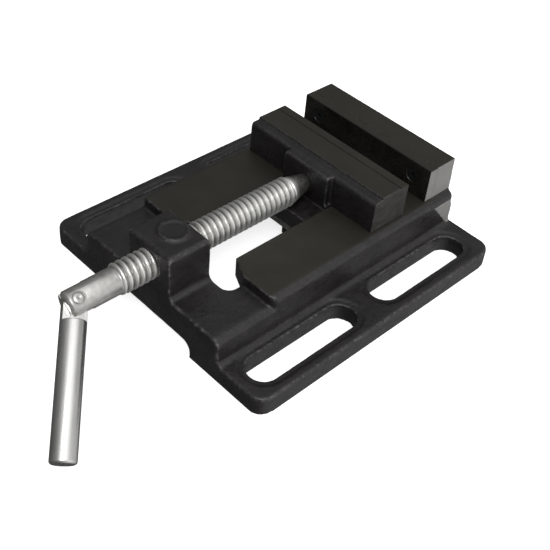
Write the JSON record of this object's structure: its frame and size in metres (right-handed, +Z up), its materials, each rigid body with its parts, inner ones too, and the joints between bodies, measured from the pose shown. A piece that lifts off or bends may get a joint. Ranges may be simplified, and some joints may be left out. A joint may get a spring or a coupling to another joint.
{
  "type": "drill press vise",
  "caption": "Low-profile drill press vise with slotted flanges, a sliding jaw driven by a lead screw, and a folding crank handle.",
  "frame": {"origin": "middle of the base's rectangle, on its underside", "axes": "+Z up, +Y along the screw from the handle towards the fixed jaw, +X to the right when looking along +Y"},
  "size_m": [0.174, 0.2802, 0.0562],
  "materials": {
    "cast_black": "satin black paint, machined ways and jaw tops",
    "jaw_plate_steel": "blackened and ground",
    "fastener_black": "black oxide",
    "keeper_steel": "rolled plate",
    "washer_steel": "zinc plated",
    "screw_steel": "turned",
    "handle_steel": "bright drawn, lightly polished"
  },
  "bodies": {
    "base": {"base_casting": "cast_black", "fixed_jaw_plate": "jaw_plate_steel", "fixed_jaw_plate_screws": "fastener_black"},
    "sliding_jaw": {"moving_jaw": "cast_black", "moving_jaw_plate": "jaw_plate_steel", "moving_jaw_plate_screws": "fastener_black", "keeper_plate": "keeper_steel", "keeper_bolts": "fastener_black", "keeper_spring_washers": "washer_steel", "screw_retaining_pin": "washer_steel"},
    "screw": {"lead_screw": "screw_steel", "handle_rivet": "handle_steel"},
    "handle": {"handle_bar": "handle_steel"}
  },
  "joints": [
    {"name": "jaw_slide", "type": "slide", "parent": "base", "child": "sliding_jaw", "axis": [0, 1, 0], "range_m": [-0.066, 0.0189]},
    {"name": "screw_turn", "type": "hinge", "parent": "sliding_jaw", "child": "screw", "pos_m": [0, 0, 0.0421], "axis": [0, 1, 0], "range_deg": [-6450, 1860]},
    {"name": "handle_fold", "type": "hinge", "parent": "screw", "child": "handle", "pos_m": [0, -0.137, 0.0421], "axis": [0.5779, 0, 0.8161], "range_deg": [-149.5, 40.5]}
  ],
  "couplings": [
    {"joint": "screw_turn", "follows": "jaw_slide", "rad_per_m": 1698.2}
  ]
}
